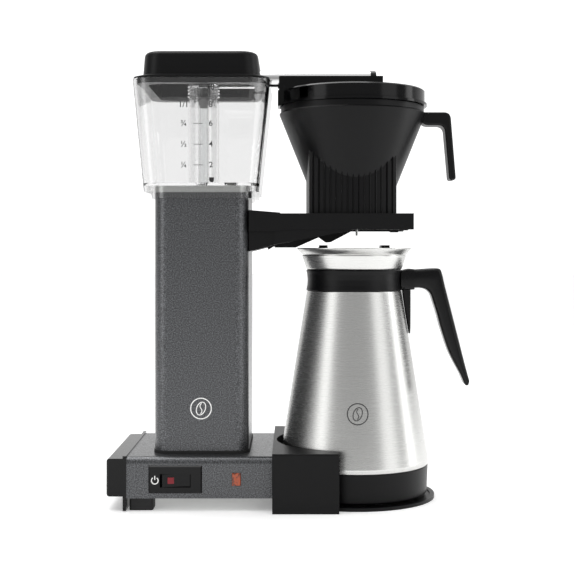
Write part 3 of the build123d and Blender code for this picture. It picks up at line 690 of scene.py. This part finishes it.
class COFFEE_OT_prints(bpy.types.Operator):
    """Print the water scale and the switch's mark, and inlay the rocker"""

    bl_idname = "coffee.prints"
    bl_label = "Prints"

    def execute(self, context):
        self.scale()
        self.switch_mark()
        self.rocker_inlay()
        front = low("column_shell").y
        self.bean_mark("column_mark", "root", "white_ink", 86.0,
                       lambda u, v: (middle("column_shell").x + u, front - INK_LIFT, v))
        self.bean_mark("carafe_mark", "carafe", "dark_ink", 82.0, self.on_carafe)
        return {"FINISHED"}

    def on_carafe(self, u, v):
        """Point on the carafe's steel cone, u along its girth from the front and at height v."""
        taper = (CONE_FOOT_RADIUS - CONE_NECK_RADIUS) / (CONE_NECK_Z - CONE_FOOT_Z)
        radius = CONE_FOOT_RADIUS + INK_LIFT - (v - CONE_FOOT_Z) * taper
        return (CARAFE_X + radius * math.sin(u / radius), -radius * math.cos(u / radius), v)

    def bean_mark(self, name, body, finish, height, place):
        """Printed coffee bean in a ring: flat strips laid on a surface."""
        turns = [2 * math.pi * step / 48 for step in range(49)]
        ring = [(9.0 * math.cos(a), 9.0 * math.sin(a)) for a in turns]
        bean = [(3.9 * math.cos(a) + 1.2 * math.sin(a), 5.6 * math.sin(a)) for a in turns]
        crease = [(1.1 * math.sin(a) + 0.5 * (a - math.pi) / math.pi,
                   4.6 * (a - math.pi) / math.pi) for a in turns]
        for part, line, half_width in (("ring", ring, 0.45), ("bean", bean, 0.4),
                                       ("crease", crease, 0.35)):
            vertices, faces = [], []
            for i, (u, v) in enumerate(line):
                before, after = line[max(i - 1, 0)], line[min(i + 1, len(line) - 1)]
                run = Vector((after[0] - before[0], after[1] - before[1])).normalized()
                for side in (-half_width, half_width):
                    vertices.append(place(u - run.y * side, height + v + run.x * side))
                if i:
                    faces.append((2 * i - 2, 2 * i - 1, 2 * i + 1, 2 * i))
            settle(make_piece(f"{name}_{part}", vertices, faces), body, finish)

    def ink_plate(self, name, outline, face, proud, finish):
        """Printed shape that stands a little proud of an upright face and is let in to hold."""
        let_in = 0.02
        settle(plate(name, outline, face - proud, face + let_in), "root", finish)

    def tank_face(self, z):
        """Depth of the tank's leaning front face at height z."""
        tank_low, tank_high = 275.6, high("water_tank").z
        share = (z - tank_low) / (tank_high - tank_low)
        return -(TANK_LOW_DEPTH + TANK_LEAN * share)

    def line(self, name, x, z, width, height):
        """Printed bar on the tank's front."""
        bar = rectangle(x - width / 2, z - height / 2, x + width / 2, z + height / 2)
        self.ink_plate(name, bar, self.tank_face(z), TANK_INK, "dark_ink")

    def numeral(self, name, text, x, z, size):
        """Printed numeral on the tank's front."""
        words = bpy.data.curves.new(name, "FONT")
        words.body = text
        words.size = size * MM
        words.offset = 0.06 * MM
        words.extrude = 0.05 * MM
        words.align_x = "CENTER"
        words.align_y = "CENTER"
        raw = bpy.data.objects.new(name + "_raw", words)
        bpy.context.scene.collection.objects.link(raw)
        bpy.context.view_layer.update()
        mesh = bpy.data.meshes.new_from_object(raw)
        bpy.data.objects.remove(raw)
        face = self.tank_face(z) * MM - NUMERAL_LIFT * MM
        for vertex in mesh.vertices:
            across, up, out = vertex.co
            vertex.co = (x * MM + across, face - out - up * TANK_LEAN / TANK_WALL_HEIGHT,
                         z * MM + up)
        piece = bpy.data.objects.new(name, mesh)
        bpy.context.scene.collection.objects.link(piece)
        settle(piece, "root", "dark_ink")

    def scale(self):
        """Litres on the left, cups on the right, level lines between."""
        levels = [(298.0, "\u00bc", "2"), (315.8, "\u00bd", "4"), (333.6, "\u00be", "6"),
                  (349.6, "1/1", "8"), (364.6, "", "10")]
        for i, (z, litres, cups) in enumerate(levels):
            if i < 3:
                self.line(f"scale_line_{i}", -82.0, z, 8.0, 0.5)
            if litres:
                self.numeral(f"scale_litres_{i}", litres, -94.3, z, 7.0)
            self.numeral(f"scale_cups_{i}", cups, -71.0, z, 6.8)
        cup = [(-72.8, 287.4), (-72.4, 283.9), (-71.6, 283.2), (-69.6, 283.2), (-68.8, 283.9),
               (-68.4, 287.4)]
        self.ink_plate("scale_cup", cup, self.tank_face(285), TANK_INK, "dark_ink")

    def switch_mark(self):
        """Power mark: an open ring and a bar."""
        x, z = -118.7, 26.6
        face, proud = low("switch_bezel").y, 0.1
        outer, inner, opening, steps = 3.3, 2.45, 0.62, 40
        sweep = 2 * math.pi - 2 * opening
        angles = [math.pi / 2 + opening + sweep * step / steps for step in range(steps + 1)]
        ring = [(x + outer * math.cos(a), z + outer * math.sin(a)) for a in angles]
        ring += [(x + inner * math.cos(a), z + inner * math.sin(a)) for a in reversed(angles)]
        self.ink_plate("power_ring", ring, face, proud, "white_ink")
        bar = rectangle(x - 0.42, z + 0.6, x + 0.42, z + 4.1)
        self.ink_plate("power_bar", bar, face, proud, "white_ink")

    def rocker_inlay(self):
        """Red square let into the rocker's raised end."""
        centre = middle("rocker_switch")
        x, z, half = centre.x - 4.3, centre.z, 2.7
        # The rocker's face leans 7 degrees at rest, and its dish makes that steeper at the ends.
        slope = math.tan(math.radians(7.0)) * 1.15
        pivot_y, face_lift, proud, let_in = -65.0, 4.85, 0.35, 0.6
        face = pivot_y - face_lift
        rings = []
        for depth in (-proud, let_in):
            rings.append([(px, face + (px - centre.x) * slope + depth, pz)
                          for px, pz in rectangle(x - half, z - half, x + half, z + half)])
        settle(make_piece("rocker_inlay", *join_rings(rings)), "rocker", "red_inlay")


class COFFEE_OT_studio(bpy.types.Operator):
    """Set up the floor, the soft light and the camera"""

    bl_idname = "coffee.studio"
    bl_label = "Studio"

    def execute(self, context):
        studio = context.scene.coffee_studio
        self.floor()
        self.sky(context.scene, studio.light)
        for name, place, size, power in (
                ("left_softbox", (-1.08, -0.73, 0.45), (0.5, 1.6), 3.8),
                ("right_softbox", (1.10, -0.75, 0.45), (0.6, 1.6), 3.2),
                ("right_edge_light", (1.20, 0.10, 0.5), (0.3, 1.4), 3.6),
                ("top_softbox", (-0.3, 0.15, 1.5), (1.3, 0.9), 12.0)):
            self.panel(name, place, size, power * studio.light)
        lens = bpy.data.cameras.new("packshot_camera")
        lens.lens = studio.lens
        lens.sensor_width = 36.0
        lens.shift_x = -0.0087
        lens.shift_y = -0.0575
        camera = bpy.data.objects.new("packshot_camera", lens)
        camera.location = (-0.001, -studio.distance, studio.height)
        camera.rotation_euler = (math.pi / 2, 0, 0)
        context.scene.collection.objects.link(camera)
        context.scene.camera = camera
        context.scene.view_settings.view_transform = "Standard"
        return {"FINISHED"}

    def floor(self):
        """White worktop, large enough to fill the view."""
        size, mottle_mm = 12.0, 40.0
        mesh = bpy.data.meshes.new("worktop")
        mesh.from_pydata([(-size, -size, 0), (size, -size, 0), (size, size, 0), (-size, size, 0)],
                         [], [(0, 1, 2, 3)])
        floor = bpy.data.objects.new("worktop", mesh)
        bpy.context.scene.collection.objects.link(floor)
        white = hex_colour("#FAFAFA")
        material, tree, shader = start_material("white_laminate", white, metallic=0.0,
                                                roughness=0.6, IOR=1.45, Emission_Color=white,
                                                Emission_Strength=0.27)
        lay_pattern(tree, shader, grain(tree, mottle_mm), roughness=(0.55, 0.65))
        floor.data.materials.append(material)

    def sky(self, scene, strength):
        """White surround that is dimmer behind the camera, as a dark studio is."""
        world = bpy.data.worlds.new("studio_surround")
        world.use_nodes = True
        tree = world.node_tree
        tree.nodes.clear()
        place = add_node(tree, "ShaderNodeTexCoord")
        parts = add_node(tree, "ShaderNodeSeparateXYZ",
                         links={"Vector": place.outputs["Generated"]})
        away = add_node(tree, "ShaderNodeMapRange", links={"Value": parts.outputs["Y"]},
                        sockets={"From Min": -1.0, "From Max": 1.0, "To Min": 0.0, "To Max": 1.0})
        walls = add_node(tree, "ShaderNodeValToRGB", links={"Fac": away.outputs["Result"]},
                         stops=self.greys((0.0, 0.46), (0.36, 0.38), (0.56, 0.22), (0.74, 0.80),
                                          (1.0, 0.95)))
        ceiling = add_node(tree, "ShaderNodeValToRGB", links={"Fac": parts.outputs["Z"]},
                           stops=self.greys((0.35, 0.0), (0.85, 1.0)))
        ramp = add_node(tree, "ShaderNodeMix", {"data_type": "RGBA", "blend_type": "LIGHTEN"},
                        {0: 1.0}, {6: walls.outputs["Color"], 7: ceiling.outputs["Color"]})
        seen = add_node(tree, "ShaderNodeLightPath")
        plain = add_node(tree, "ShaderNodeBackground",
                         sockets={"Color": (1, 1, 1, 1), "Strength": 1.3})
        lit = add_node(tree, "ShaderNodeBackground", sockets={"Strength": strength},
                       links={"Color": ramp.outputs[2]})
        mix = add_node(tree, "ShaderNodeMixShader",
                       links={0: seen.outputs["Is Camera Ray"], 1: lit.outputs[0],
                              2: plain.outputs[0]})
        add_node(tree, "ShaderNodeOutputWorld", links={"Surface": mix.outputs[0]})
        scene.world = world

    def greys(self, *stops):
        """Colour stops of a ramp from its (position, brightness) pairs."""
        return [(position, (grey, grey, grey, 1.0)) for position, grey in stops]

    def panel(self, name, place, size, power):
        """Soft rectangular light aimed at the machine."""
        light = bpy.data.lights.new(name, "AREA")
        light.shape = "RECTANGLE"
        light.size, light.size_y = size
        light.energy = power
        lamp = bpy.data.objects.new(name, light)
        lamp.location = place
        aim = Vector((0.0, 0.0, 0.2)) - Vector(place)
        lamp.rotation_euler = aim.to_track_quat("-Z", "Y").to_euler()
        bpy.context.scene.collection.objects.link(lamp)


class COFFEE_PT_panel(bpy.types.Panel):
    """Sidebar panel that lists the settings and the steps"""

    bl_label = "Coffee Maker"
    bl_idname = "COFFEE_PT_panel"
    bl_space_type = "VIEW_3D"
    bl_region_type = "UI"
    bl_category = "Coffee Maker"

    def draw(self, context):
        scene = context.scene
        for group in (scene.coffee_enamel, scene.coffee_steel, scene.coffee_plastic,
                      scene.coffee_studio):
            box = self.layout.box()
            for name in group.__annotations__:
                box.prop(group, name)
        for operator in OPERATORS:
            self.layout.operator(operator.bl_idname)


SETTINGS = {"coffee_enamel": EnamelSettings, "coffee_steel": SteelSettings,
            "coffee_plastic": PlasticSettings, "coffee_studio": StudioSettings}
OPERATORS = (COFFEE_OT_finishes, COFFEE_OT_housings, COFFEE_OT_carafe, COFFEE_OT_basket,
             COFFEE_OT_arm, COFFEE_OT_prints, COFFEE_OT_studio)


def register():
    """Register the settings, operators and panel."""
    for group in SETTINGS.values():
        bpy.utils.register_class(group)
    for name, group in SETTINGS.items():
        setattr(bpy.types.Scene, name, PointerProperty(type=group))
    for operator in OPERATORS:
        bpy.utils.register_class(operator)
    bpy.utils.register_class(COFFEE_PT_panel)


def unregister():
    """Take everything off again."""
    bpy.utils.unregister_class(COFFEE_PT_panel)
    for operator in reversed(OPERATORS):
        bpy.utils.unregister_class(operator)
    for name in SETTINGS:
        delattr(bpy.types.Scene, name)
    for group in reversed(list(SETTINGS.values())):
        bpy.utils.unregister_class(group)


def main():
    """Register the add-on and run its steps in order."""
    register()
    bpy.ops.coffee.studio()
    bpy.ops.coffee.finishes()
    bpy.ops.coffee.housings()
    bpy.ops.coffee.carafe()
    bpy.ops.coffee.basket()
    bpy.ops.coffee.arm()
    bpy.ops.coffee.prints()


if __name__ == "__main__":
    main()
